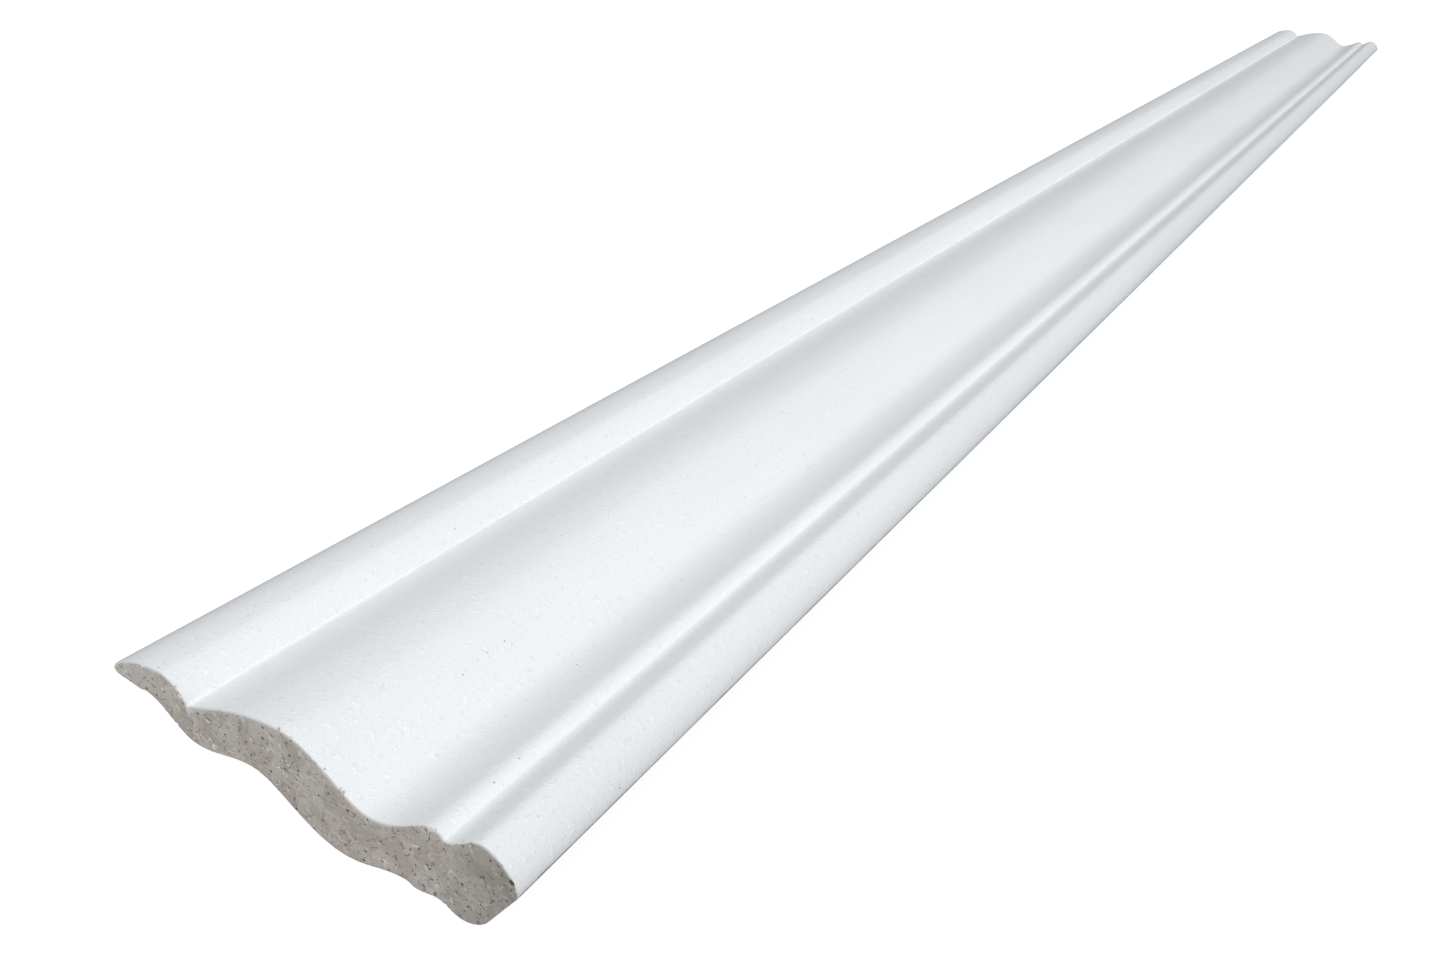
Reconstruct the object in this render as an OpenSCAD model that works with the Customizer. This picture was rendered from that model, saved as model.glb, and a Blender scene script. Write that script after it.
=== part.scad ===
// Crown moulding length
//
// A loose stock length of crown moulding, pressed from fibre composite in one piece, primed white on
// its moulded face and cut square at both ends. It lies on its back, face up, along +Y.
//
// The section is first set out on its chord, the straight line from the nose of the lip at (0, 0) to
// the arris of the big bead at (face_width, 0). Heights above the chord are on the moulded face,
// depths below it are on the back. It is then tilted until the two waves of the back that carry it
// stand level, and extruded. The origin is at the middle of the box, on the surface it lies on.
//
// From the lip (wall side) to the foot (ceiling side) the face has an ovolo, a quirk, a cyma recta
// with its hollow, a small bead, a notch and a big bead. The back follows it in shallow waves.

/* [Overall] */
// Length between the two square cuts
length = 2000; // [300:10:3600]
// Width of the face along the chord, from the nose of the lip to the arris of the big bead
face_width = 144.5; // [120:0.5:200]
// Angle between the chord and the ceiling when the length is fitted
spring_angle = 56.5; // [48:0.5:62]

/* [Face: ovolo and quirk] */
// From the nose to the highest line of the ovolo
ovolo_run = 20.2; // [12:0.1:24]
// Height of the ovolo
ovolo_height = 8.1; // [6:0.1:11]
// From the highest line of the ovolo to the quirk
ovolo_fall_run = 10.1; // [6:0.1:14]
// Height of the bottom of the quirk
quirk_height = 1; // [0:0.1:4]

/* [Face: cyma recta] */
// Height of the swell of the cyma
swell_height = 11.2; // [8:0.1:15]
// From the highest line of the swell to the bottom of the hollow
cyma_run = 31.1; // [24:0.1:38]
// Depth of the hollow
hollow_depth = 1.4; // [0:0.1:4]

/* [Face: small bead and big bead] */
// From the bottom of the hollow to the highest line of the small bead
small_bead_run = 20.8; // [14:0.1:24]
// Height of the small bead
small_bead_height = 6.8; // [5:0.1:9]
// From the highest line of the small bead to the notch
notch_run = 3.4; // [3:0.1:6]
// Height of the bottom of the notch
notch_height = 4.8; // [2:0.1:5.5]
// From the notch to the highest line of the big bead
big_bead_run = 11.8; // [8:0.1:14]
// Height of the big bead
big_bead_height = 10.2; // [8:0.1:13]
// From the highest line of the big bead to the arris
big_bead_fall_run = 11.4; // [8:0.1:14]

/* [Back: lip] */
// Width of the land on the nose that bears on the wall
wall_land = 2.2; // [1.2:0.1:3]
// Width of the flat behind the land
lip_flat = 9.4; // [6:0.1:12]
// Slope of the flat behind the land, from the chord
lip_slope = 6.5; // [2:0.5:12]
// Height of the pressed step at the end of the flat
lip_step = 0.5; // [0.2:0.1:1]

/* [Back: waves] */
// From the nose to the lowest line of the first wave
first_wave_at = 33; // [28:0.5:38]
// Depth of the first wave
first_wave_depth = 11; // [9:0.1:14]
// From the first wave to the trough behind the swell
trough_run = 21.2; // [14:0.1:24]
// Depth of the trough behind the swell
trough_depth = 7.5; // [6:0.1:9]
// From the lowest line of the second wave to the arris
second_wave_inset = 57; // [50:0.5:60]
// Depth of the second wave
second_wave_depth = 20.1; // [17:0.1:23]
// From the shallow trough behind the small bead's flank to the arris
shallow_trough_inset = 36; // [35:0.5:39]
// Depth of that shallow trough
shallow_trough_depth = 16; // [14:0.1:17]
// From the third, low wave to the arris
third_wave_inset = 32.4; // [30:0.1:33]
// Depth of the third wave
third_wave_depth = 17; // [16:0.1:18]
// From the last trough to the arris
last_trough_inset = 25.5; // [24.5:0.1:27]
// Depth of the last trough
last_trough_depth = 16; // [14:0.1:17]

/* [Back: foot] */
// Width of the flat on the foot that bears on the ceiling
foot_flat = 16.7; // [13:0.1:18]
// Radius that rounds the foot below its flat
foot_radius = 10.1; // [8:0.1:12]

/* [Hidden] */

primer_white = [0.93, 0.94, 0.95];

// Roundness of a quarter round: 2 is a true ellipse, less is flatter at the shoulder
full_roundness = 1.8;
slack_roundness = 1.6;
// Run of the pressed step at the lip for each millimetre of its height
lip_step_slant = 3;
// Share of an ogee's run before its slope turns over
even_turnover = 0.5;
late_turnover = 0.63;
bead_turnover = 0.7;
early_turnover = 0.36;
// Straight pieces to each quarter of a wave or a round
curve_steps = 8;

// Stations along the chord
quirk_at = ovolo_run + ovolo_fall_run;
big_bead_at = face_width - big_bead_fall_run;
notch_at = big_bead_at - big_bead_run;
small_bead_at = notch_at - notch_run;
hollow_at = small_bead_at - small_bead_run;
swell_at = hollow_at - cyma_run;
trough_at = first_wave_at + trough_run;
second_wave_at = face_width - second_wave_inset;

// Key points of the face
nose = [0, 0];
ovolo_top = [ovolo_run, ovolo_height];
quirk = [quirk_at, quirk_height];
swell = [swell_at, swell_height];
hollow = [hollow_at, -hollow_depth];
small_bead = [small_bead_at, small_bead_height];
notch = [notch_at, notch_height];
big_bead = [big_bead_at, big_bead_height];
arris = [face_width, 0];

// Key points of the back. The foot flat lies at the spring angle, and the wall land square to it
wall_land_end = nose + wall_land * [sin(spring_angle), -cos(spring_angle)];
lip_flat_end = wall_land_end + lip_flat * [cos(lip_slope), -sin(lip_slope)];
lip_step_top = lip_flat_end + lip_step * [lip_step_slant, 1];
first_wave = [first_wave_at, -first_wave_depth];
trough = [trough_at, -trough_depth];
second_wave = [second_wave_at, -second_wave_depth];
shallow_trough = [face_width - shallow_trough_inset, -shallow_trough_depth];
third_wave = [face_width - third_wave_inset, -third_wave_depth];
last_trough = [face_width - last_trough_inset, -last_trough_depth];
foot_flat_end = arris - foot_flat * [cos(spring_angle), sin(spring_angle)];
foot_centre = foot_flat_end + foot_radius * [-sin(spring_angle), cos(spring_angle)];
foot_bottom = foot_centre - [0, foot_radius];

// Even steps from 0 to 1, without the first
function steps(n) = [for (i = [1 : n]) i / n];

// Point between two corners of a box, at its own share of each side
function within(from, to, share_x, share_y) =
    [from.x + (to.x - from.x) * share_x, from.y + (to.y - from.y) * share_y];

// Convex quarter that leaves `from` upright and arrives at `to` level
function rising_quarter(from, to, roundness) =
    [for (t = steps(curve_steps))
        let (open = pow(cos(90 * t), 2 / roundness))
        within(from, to, 1 - open, pow(sin(90 * t), 2 / roundness))];

// Convex quarter that leaves `from` level and arrives at `to` upright
function falling_quarter(from, to, roundness) =
    [for (t = steps(curve_steps))
        let (open = pow(cos(90 * t), 2 / roundness))
        within(from, to, pow(sin(90 * t), 2 / roundness), 1 - open)];

// Quarter wave that leaves `from` at its steepest and arrives at `to` level
function levelling_wave(from, to) =
    [for (t = steps(curve_steps)) within(from, to, t, sin(90 * t))];

// Quarter wave that leaves `from` level and arrives at `to` at its steepest
function steepening_wave(from, to) =
    [for (t = steps(curve_steps)) within(from, to, t, 1 - cos(90 * t))];

// Ogee that is level at both ends and turns over at a share of the straight line between them
function ogee(from, to, turnover) =
    let (middle = within(from, to, turnover, turnover))
    concat(steepening_wave(from, middle), levelling_wave(middle, to));

// Arc of the foot, from its bottom round to the end of the foot flat
function foot_arc() =
    [for (t = steps(curve_steps))
        foot_centre + foot_radius * [sin(spring_angle * t), -cos(spring_angle * t)]];

// Face from the nose to the arris
function face_line() = concat(
    rising_quarter(nose, ovolo_top, full_roundness),
    falling_quarter(ovolo_top, quirk, slack_roundness),
    levelling_wave(quirk, swell),
    ogee(swell, hollow, late_turnover),
    ogee(hollow, small_bead, bead_turnover),
    falling_quarter(small_bead, notch, full_roundness),
    ogee(notch, big_bead, even_turnover),
    falling_quarter(big_bead, arris, slack_roundness));

// Back of the lip with its first wave, and the back from the trough to the foot
function lip_line() = concat(
    [wall_land_end, lip_flat_end, lip_step_top],
    ogee(lip_step_top, first_wave, even_turnover),
    ogee(first_wave, trough, even_turnover));

function foot_line() = concat(
    ogee(trough, second_wave, early_turnover),
    ogee(second_wave, shallow_trough, even_turnover),
    ogee(shallow_trough, third_wave, even_turnover),
    ogee(third_wave, last_trough, even_turnover),
    ogee(last_trough, foot_bottom, even_turnover),
    foot_arc());

function reversed(line) = [for (i = [len(line) - 1 : -1 : 0]) line[i]];

// Outline on the chord, once round against the clock: along the back, then home over the face
chord_outline = concat([nose], lip_line(), foot_line(), reversed(face_line()));

// The line that the length rests on touches the first wave and the second: for each point of one it
// is the lowest line to the other, and of those the highest
function slope(a, b) = (b.y - a.y) / (b.x - a.x);
rest_slope = max([for (a = lip_line()) min([for (b = foot_line()) slope(a, b)])]);
rest_tilt = -atan(rest_slope);

// The outline tilted to its rest and moved over the origin
function turned(p, angle) = [p.x * cos(angle) - p.y * sin(angle), p.x * sin(angle) + p.y * cos(angle)];
tilted_outline = [for (p = chord_outline) turned(p, rest_tilt)];
left_edge = min([for (p = tilted_outline) p.x]);
right_edge = max([for (p = tilted_outline) p.x]);
lowest = min([for (p = tilted_outline) p.y]);
rest_outline = [for (p = tilted_outline) p - [(left_edge + right_edge) / 2, lowest]];

module crown_moulding() {
    color(primer_white)
        translate([0, length / 2, 0])
            rotate([90, 0, 0])
                linear_extrude(height = length)
                    polygon(rest_outline);
}

crown_moulding();
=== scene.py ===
"""Looks of the crown moulding length: primed face, pressed back and sawn ends.

The length lies on its back along +Y, in metres. One closed mesh stands for the CAD solid: a skin swept
along the length and a sawn, pitted face at each end. The section is set out in millimetres on its
chord, as the solid's is, and tilted until it stands on the two waves of its back.
"""
import logging
import math
from collections.abc import Mapping, Sequence
from dataclasses import dataclass, field
from enum import Enum
from typing import Any, Union

import bpy
import numpy as np
from mathutils import Matrix, Vector


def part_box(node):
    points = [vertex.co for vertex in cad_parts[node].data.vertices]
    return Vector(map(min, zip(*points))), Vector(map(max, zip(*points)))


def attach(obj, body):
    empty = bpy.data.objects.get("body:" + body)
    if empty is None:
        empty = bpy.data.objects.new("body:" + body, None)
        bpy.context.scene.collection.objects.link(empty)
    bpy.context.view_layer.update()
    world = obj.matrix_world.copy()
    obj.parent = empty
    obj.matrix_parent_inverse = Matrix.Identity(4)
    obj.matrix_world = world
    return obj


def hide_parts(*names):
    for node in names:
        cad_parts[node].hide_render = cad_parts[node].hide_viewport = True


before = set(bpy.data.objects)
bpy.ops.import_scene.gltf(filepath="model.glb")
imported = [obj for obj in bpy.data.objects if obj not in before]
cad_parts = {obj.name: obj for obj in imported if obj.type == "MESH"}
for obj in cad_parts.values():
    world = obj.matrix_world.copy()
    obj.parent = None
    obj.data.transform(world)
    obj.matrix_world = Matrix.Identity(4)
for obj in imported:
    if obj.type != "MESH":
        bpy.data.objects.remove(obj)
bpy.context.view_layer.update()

log = logging.getLogger("moulding")

NODE = "crown_moulding"
BODY = "root"
MM = 0.001

Points = np.ndarray
Number = Union[float, "Shade"]


class Roundness(Enum):
    """How full a quarter round is: 2 is a true ellipse, less is flatter at the shoulder."""

    FULL = 1.8
    SLACK = 1.6


class Turnover(Enum):
    """Share of an ogee's run before its slope turns over."""

    EARLY = 0.36
    EVEN = 0.5
    LATE = 0.63
    LATEST = 0.7


class End(Enum):
    """A cut end of the length, by the side of the origin that it is on along Y."""

    NEAR = -1
    FAR = 1

    def plane(self, low: Vector, high: Vector) -> float:
        """Where the cut lies along Y, from the solid's lowest and highest corners."""
        return low.y if self is End.NEAR else high.y


class Finish(Enum):
    """A finish of the length, by its place among the materials of the mesh."""

    PRIMED = 0
    PRESSED = 1
    SAWN = 2


class Figure(Enum):
    """A number that the mesh carries at each of its points, in millimetres.

    Attributes:
        GIRTH: Distance round the section.
        COAT_INSET: Distance inside the primer's edge, less than 0 on the bare back.
        PIT_DEPTH: Depth under the plane of the cut.
        RIM_INSET: Distance from the face, on a cut.
        CHORD_PLACE: Place along the chord, from the nose.
    """

    GIRTH = "girth"
    COAT_INSET = "coat_inset"
    PIT_DEPTH = "pit_depth"
    RIM_INSET = "rim_inset"
    CHORD_PLACE = "chord_place"


# ---------------------------------------------------------------------------------------------
# Curves of the section
# ---------------------------------------------------------------------------------------------

FINE_STEPS = 400


def within(start: Sequence[float], end: Sequence[float], share_x: Any, share_y: Any) -> Points:
    """Points of the box between two corners, at their own share of each side.

    Formula: the start, plus the share times the side, in x and in y.

    Args:
        start: Corner where both shares are 0.
        end: Corner where both shares are 1.
        share_x: Share of the way in x, a number or an array.
        share_y: Share of the way in y, a number or an array.

    Returns:
        The points, one to a row.
    """
    x = start[0] + (end[0] - start[0]) * np.asarray(share_x, dtype=float)
    y = start[1] + (end[1] - start[1]) * np.asarray(share_y, dtype=float)
    return np.stack(np.broadcast_arrays(x, y), axis=-1)


def quarter_turn() -> np.ndarray:
    """Even angles from 0 to a right angle."""
    return np.linspace(0.0, math.pi / 2, FINE_STEPS)


def quarter_shares(fullness: Roundness) -> tuple[np.ndarray, np.ndarray]:
    """Shares of the way along the two sides of a convex quarter.

    Formula: an angle turns from 0 to a right angle. The first share is its sine and the second is 1
    less its cosine, with the sine and the cosine raised to 2 / roundness.

    Args:
        fullness: How full the quarter is.

    Returns:
        The share that starts fast and ends slow, and the share that starts slow and ends fast.
    """
    turn = quarter_turn()
    power = 2.0 / fullness.value
    return np.sin(turn) ** power, 1.0 - np.cos(turn) ** power


def rising_quarter(start: Sequence[float], end: Sequence[float], fullness: Roundness) -> Points:
    """Convex quarter that leaves start upright and arrives at end level."""
    fast, slow = quarter_shares(fullness)
    return within(start, end, slow, fast)


def falling_quarter(start: Sequence[float], end: Sequence[float], fullness: Roundness) -> Points:
    """Convex quarter that leaves start level and arrives at end upright."""
    fast, slow = quarter_shares(fullness)
    return within(start, end, fast, slow)


def levelling_wave(start: Sequence[float], end: Sequence[float]) -> Points:
    """Quarter wave that leaves start at its steepest and arrives at end level: y follows sin(x)."""
    turn = quarter_turn()
    return within(start, end, turn / turn[-1], np.sin(turn))


def steepening_wave(start: Sequence[float], end: Sequence[float]) -> Points:
    """Quarter wave that leaves start level and arrives at end at its steepest: y is 1 - cos(x)."""
    turn = quarter_turn()
    return within(start, end, turn / turn[-1], 1.0 - np.cos(turn))


def ogee(start: Sequence[float], end: Sequence[float], turnover: Turnover) -> list[Points]:
    """Two quarter waves, level at both ends, that turn over on the straight line between them."""
    middle = within(start, end, turnover.value, turnover.value)
    return [steepening_wave(start, middle), levelling_wave(middle, end)]


def straight(start: Sequence[float], end: Sequence[float]) -> Points:
    """Straight line between two points."""
    share = np.linspace(0.0, 1.0, FINE_STEPS)
    return within(start, end, share, share)


def travelled(line: Points) -> np.ndarray:
    """Distance along a line at each of its points."""
    return np.concatenate([[0.0], np.cumsum(np.linalg.norm(np.diff(line, axis=0), axis=1))])


def left_of(headings: Points) -> Points:
    """Unit vectors square to a line's headings, on its left.

    Formula: x and y change places, the new x changes its sign, and both are divided by the length.

    Args:
        headings: Directions along the line, one to a row.

    Returns:
        The unit vectors, one to a row.
    """
    square = np.stack([-headings[:, 1], headings[:, 0]], axis=-1)
    return square / np.linalg.norm(square, axis=1, keepdims=True)


def resampled(line: Points, cells: int) -> Points:
    """The same line with its points an even distance apart.

    Formula: x and y are read off against the distance along the line, at even distances.

    Args:
        line: Points of the line.
        cells: Number of even steps.

    Returns:
        One point more than the number of steps.
    """
    along = travelled(line)
    places = np.linspace(0.0, along[-1], cells + 1)
    return np.stack([np.interp(places, along, line[:, axis]) for axis in (0, 1)], axis=-1)


def joined(members: Sequence[Points], cells: int) -> Points:
    """Members of an outline joined end to end, with a point kept at each joint.

    Formula: each member gets steps in proportion to its length, and at least two. The one with the
    most steps takes up what the rounding leaves over.

    Args:
        members: Curves in order, each starting where the last one ends.
        cells: Number of steps in all, shared out by length.

    Returns:
        One point more than the number of steps.
    """
    lengths = np.array([travelled(member)[-1] for member in members])
    counts = np.maximum(2, np.rint(cells * lengths / lengths.sum()).astype(int))
    counts[counts.argmax()] += cells - counts.sum()
    pieces = [resampled(member, count)[1:] for member, count in zip(members, counts)]
    return np.vstack([members[0][:1], *pieces])


@dataclass(frozen=True)
class MouldingSection:
    """Outline of the moulding on its chord, in millimetres.

    The chord runs from the nose of the lip at (0, 0) to the arris of the big bead at (width, 0).
    Heights are on the moulded face and depths on the back. Each size has the same meaning and value
    as in the solid, and the result is checked against the solid's box.
    """

    face_width: float = 144.5
    spring_angle: float = 56.5
    ovolo_run: float = 20.2
    ovolo_height: float = 8.1
    ovolo_fall_run: float = 10.1
    quirk_height: float = 1.0
    swell_height: float = 11.2
    cyma_run: float = 31.1
    hollow_depth: float = 1.4
    small_bead_run: float = 20.8
    small_bead_height: float = 6.8
    notch_run: float = 3.4
    notch_height: float = 4.8
    big_bead_run: float = 11.8
    big_bead_height: float = 10.2
    big_bead_fall_run: float = 11.4
    wall_land: float = 2.2
    lip_flat: float = 9.4
    lip_slope: float = 6.5
    lip_step: float = 0.5
    lip_step_slant: float = 3.0
    first_wave_at: float = 33.0
    first_wave_depth: float = 11.0
    trough_run: float = 21.2
    trough_depth: float = 7.5
    second_wave_inset: float = 57.0
    second_wave_depth: float = 20.1
    shallow_trough_inset: float = 36.0
    shallow_trough_depth: float = 16.0
    third_wave_inset: float = 32.4
    third_wave_depth: float = 17.0
    last_trough_inset: float = 25.5
    last_trough_depth: float = 16.0
    foot_flat: float = 16.7
    foot_radius: float = 10.1
    cells_along: int = 400
    cells_through: int = 42
    rim: float = 0.4
    easing_passes: int = 2
    box_tolerance: float = 0.3

    def face_members(self) -> list[Points]:
        """Curves of the face.

        Returns:
            The curves in order, from the nose to the arris.
        """
        big_bead_at = self.face_width - self.big_bead_fall_run
        notch_at = big_bead_at - self.big_bead_run
        small_bead_at = notch_at - self.notch_run
        hollow_at = small_bead_at - self.small_bead_run
        nose = (0.0, 0.0)
        ovolo_top = (self.ovolo_run, self.ovolo_height)
        quirk = (self.ovolo_run + self.ovolo_fall_run, self.quirk_height)
        swell = (hollow_at - self.cyma_run, self.swell_height)
        hollow = (hollow_at, -self.hollow_depth)
        small_bead = (small_bead_at, self.small_bead_height)
        notch = (notch_at, self.notch_height)
        big_bead = (big_bead_at, self.big_bead_height)
        arris = (self.face_width, 0.0)
        return [
            rising_quarter(nose, ovolo_top, Roundness.FULL),
            falling_quarter(ovolo_top, quirk, Roundness.SLACK),
            levelling_wave(quirk, swell),
            *ogee(swell, hollow, Turnover.LATE),
            *ogee(hollow, small_bead, Turnover.LATEST),
            falling_quarter(small_bead, notch, Roundness.FULL),
            *ogee(notch, big_bead, Turnover.EVEN),
            falling_quarter(big_bead, arris, Roundness.SLACK),
        ]

    def back_members(self) -> list[Points]:
        """Curves of the back.

        Formula: across and along are the directions of the wall land and of the foot flat. The foot is
        rounded from its lowest point to the foot flat by an arc of the spring angle.

        Returns:
            The curves in order, from the end of the wall land to the end of the foot flat.
        """
        spring = math.radians(self.spring_angle)
        slope = math.radians(self.lip_slope)
        across = np.array([math.sin(spring), -math.cos(spring)])
        along = np.array([math.cos(spring), math.sin(spring)])
        land_end = self.wall_land * across
        flat_end = land_end + self.lip_flat * np.array([math.cos(slope), -math.sin(slope)])
        step_top = flat_end + self.lip_step * np.array([self.lip_step_slant, 1.0])
        first_wave = (self.first_wave_at, -self.first_wave_depth)
        trough = (self.first_wave_at + self.trough_run, -self.trough_depth)
        second_wave = (self.face_width - self.second_wave_inset, -self.second_wave_depth)
        shallow_trough = (self.face_width - self.shallow_trough_inset, -self.shallow_trough_depth)
        third_wave = (self.face_width - self.third_wave_inset, -self.third_wave_depth)
        last_trough = (self.face_width - self.last_trough_inset, -self.last_trough_depth)
        foot_flat_end = np.array([self.face_width, 0.0]) - self.foot_flat * along
        foot_centre = foot_flat_end - self.foot_radius * across
        foot_bottom = foot_centre - np.array([0.0, self.foot_radius])
        turn = np.linspace(0.0, spring, FINE_STEPS)
        sweep = np.stack([np.sin(turn), -np.cos(turn)], axis=-1)
        return [
            straight(land_end, flat_end),
            straight(flat_end, step_top),
            *ogee(step_top, first_wave, Turnover.EVEN),
            *ogee(first_wave, trough, Turnover.EVEN),
            *ogee(trough, second_wave, Turnover.EARLY),
            *ogee(second_wave, shallow_trough, Turnover.EVEN),
            *ogee(shallow_trough, third_wave, Turnover.EVEN),
            *ogee(third_wave, last_trough, Turnover.EVEN),
            *ogee(last_trough, foot_bottom, Turnover.EVEN),
            foot_centre + self.foot_radius * sweep,
        ]

    def grid(self) -> Points:
        """Points of the whole section, as a grid from the lip to the foot and from back to face.

        Formula: a straight line joins each point of the back to its partner on the face. It is
        divided evenly, but for its last step, which is the rim that the primer covers. The border
        of the grid is then eased, which rounds its arrises a little as the coat does.

        Returns:
            An array of (cells_along + 1, cells_through + 1, 2) chord positions.
        """
        back = joined(self.back_members(), self.cells_along)
        face = joined(self.face_members(), self.cells_along)
        thickness = np.linalg.norm(face - back, axis=1)
        rim_share = np.minimum(self.rim / thickness, 1.0 / self.cells_through)
        even = np.linspace(0.0, 1.0, self.cells_through)
        share = np.concatenate(
            [even[None, :] * (1.0 - rim_share[:, None]), np.ones((len(back), 1))], axis=1
        )
        points = back[:, None, :] + (face - back)[:, None, :] * share[:, :, None]
        return self.eased(points)

    def eased(self, points: Points) -> Points:
        """The grid with its border smoothed.

        Formula: in each pass a border point moves half way to the middle of its two neighbours.

        Args:
            points: The grid of the section.

        Returns:
            The grid with its new border, and everything inside it as it was.
        """
        rows, columns = border_indices(points.shape[0], points.shape[1])
        line = points[rows, columns]
        for _ in range(self.easing_passes):
            line = 0.5 * line + 0.25 * (np.roll(line, 1, axis=0) + np.roll(line, -1, axis=0))
        points = points.copy()
        points[rows, columns] = line
        return points

    def rest_tilt(self, points: Points) -> float:
        """Angle that brings the two carrying waves of the back level.

        Formula: for each point up to the trough the lowest slope to a point beyond it, and of those
        slopes the highest, is the slope of the line that touches both waves.

        Args:
            points: The grid of the section.

        Returns:
            The angle in radians, against the clock.
        """
        back = points[:, 0]
        before = back[:, 0] <= self.first_wave_at + self.trough_run
        lip, foot = back[before], back[~before]
        run = foot[None, :, 0] - lip[:, None, 0]
        rise = foot[None, :, 1] - lip[:, None, 1]
        return -math.atan((rise / run).min(axis=1).max())

    def at_rest(self, low: Vector, high: Vector) -> Points:
        """The grid tilted to its rest and stretched by a hair to fit the solid's box exactly.

        Args:
            low: Lowest corner of the solid.
            high: Highest corner of the solid.

        Returns:
            An array of (cells_along + 1, cells_through + 1, 2) positions in x and z, in metres.

        Raises:
            ValueError: If the section differs from the solid by more than the box's tolerance.
        """
        points = self.grid()
        tilt = self.rest_tilt(points)
        turn = np.array([[math.cos(tilt), math.sin(tilt)], [-math.sin(tilt), math.cos(tilt)]])
        turned = points @ turn * MM
        lowest, reach = turned.min(axis=(0, 1)), np.ptp(turned, axis=(0, 1))
        corner = np.array([low.x, low.z])
        wanted = np.array([high.x, high.z]) - corner
        if np.abs(reach - wanted).max() > self.box_tolerance * MM:
            raise ValueError(f"the section measures {reach} and the solid {wanted}")
        return corner + (turned - lowest) / reach * wanted


def border_indices(rows: int, columns: int) -> tuple[np.ndarray, np.ndarray]:
    """Row and column of each point on the border of a grid, once round against the clock.

    Args:
        rows: Number of points from the lip to the foot.
        columns: Number of points from the back to the face.

    Returns:
        The row indices and the column indices: out along the back, up the foot, home along the
        face and down the lip.
    """
    out, up = np.arange(rows - 1), np.arange(columns - 1)
    row = [out, np.full(columns - 1, rows - 1), out[::-1] + 1, np.zeros(columns - 1, int)]
    column = [np.zeros(rows - 1, int), up, np.full(rows - 1, columns - 1), up[::-1] + 1]
    return np.concatenate(row), np.concatenate(column)


# ---------------------------------------------------------------------------------------------
# Noise for the relief, as whole arrays
# ---------------------------------------------------------------------------------------------


HASH_WEIGHTS = (127.1, 311.7, 74.7)
HASH_SCALE = 43758.5453
LEAST_PIT = 0.4


def hashed(x: np.ndarray, y: np.ndarray, seed: int) -> np.ndarray:
    """Even spread of numbers from 0 to 1, the same for the same whole x, y and seed.

    Formula: the fraction of a large multiple of the sine of a weighted sum of the three.

    Args:
        x: First whole numbers.
        y: Second whole numbers, of the same shape.
        seed: Number that picks the spread.

    Returns:
        The numbers, of the same shape.
    """
    for_x, for_y, for_seed = HASH_WEIGHTS
    return np.modf(np.abs(np.sin(x * for_x + y * for_y + seed * for_seed) * HASH_SCALE))[0]


def lattice_noise(x: np.ndarray, y: np.ndarray, cell: float, seed: int) -> np.ndarray:
    """Smooth noise from 0 to 1.

    Formula: a random height at each corner of a square lattice, eased between the corners.

    Args:
        x: First coordinates.
        y: Second coordinates, of the same shape.
        cell: Side of the lattice's squares, in the same unit.
        seed: Number that picks the pattern.

    Returns:
        The heights, of the same shape.
    """
    u, v = x / cell, y / cell
    i, j = np.floor(u), np.floor(v)
    fu, fv = u - i, v - j
    su, sv = fu * fu * (3 - 2 * fu), fv * fv * (3 - 2 * fv)
    low = hashed(i, j, seed) * (1 - su) + hashed(i + 1, j, seed) * su
    high = hashed(i, j + 1, seed) * (1 - su) + hashed(i + 1, j + 1, seed) * su
    return low * (1 - sv) + high * sv


def pitting(
    x: np.ndarray, y: np.ndarray, cell: float, share: float, radius: float, seed: int
) -> np.ndarray:
    """Scattered round pits, from 0 on the flat to 1 at a pit's bottom.

    Formula: each square of a lattice has one pit centre at a random place, and some squares keep
    theirs. A point's depth is the greatest of 1 - (distance / radius) squared over nearby centres.

    Args:
        x: First coordinates.
        y: Second coordinates, of the same shape.
        cell: Side of the lattice's squares.
        share: Share of the squares that keep their pit.
        radius: Largest radius of a pit.
        seed: Number that picks the pattern.

    Returns:
        The depths, of the same shape.
    """
    i, j = np.floor(x / cell), np.floor(y / cell)
    depth = np.zeros_like(x)
    for di in (-1, 0, 1):
        for dj in (-1, 0, 1):
            ci, cj = i + di, j + dj
            centre_x = (ci + hashed(ci, cj, seed)) * cell
            centre_y = (cj + hashed(ci, cj, seed + 1)) * cell
            size = radius * (LEAST_PIT + (1.0 - LEAST_PIT) * hashed(ci, cj, seed + 2))
            kept = hashed(ci, cj, seed + 3) < share
            near = 1.0 - ((x - centre_x) ** 2 + (y - centre_y) ** 2) / size**2
            depth = np.maximum(depth, np.where(kept, near, 0.0))
    return np.clip(depth, 0.0, 1.0)


# ---------------------------------------------------------------------------------------------
# The mesh
# ---------------------------------------------------------------------------------------------


def quads(grid: np.ndarray, wraps: bool) -> np.ndarray:
    """Faces that join a grid of point indices.

    Formula: each face has a point, the next one in its row, and the two beside these in the next row.

    Args:
        grid: Indices of the points, row by row.
        wraps: Whether the last column joins the first.

    Returns:
        Four indices to a face.
    """
    following = np.roll(grid, -1, axis=1)
    faces = np.stack([grid[:-1], following[:-1], following[1:], grid[1:]], axis=-1)
    return (faces if wraps else faces[:, :-1]).reshape(-1, 4)


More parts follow.
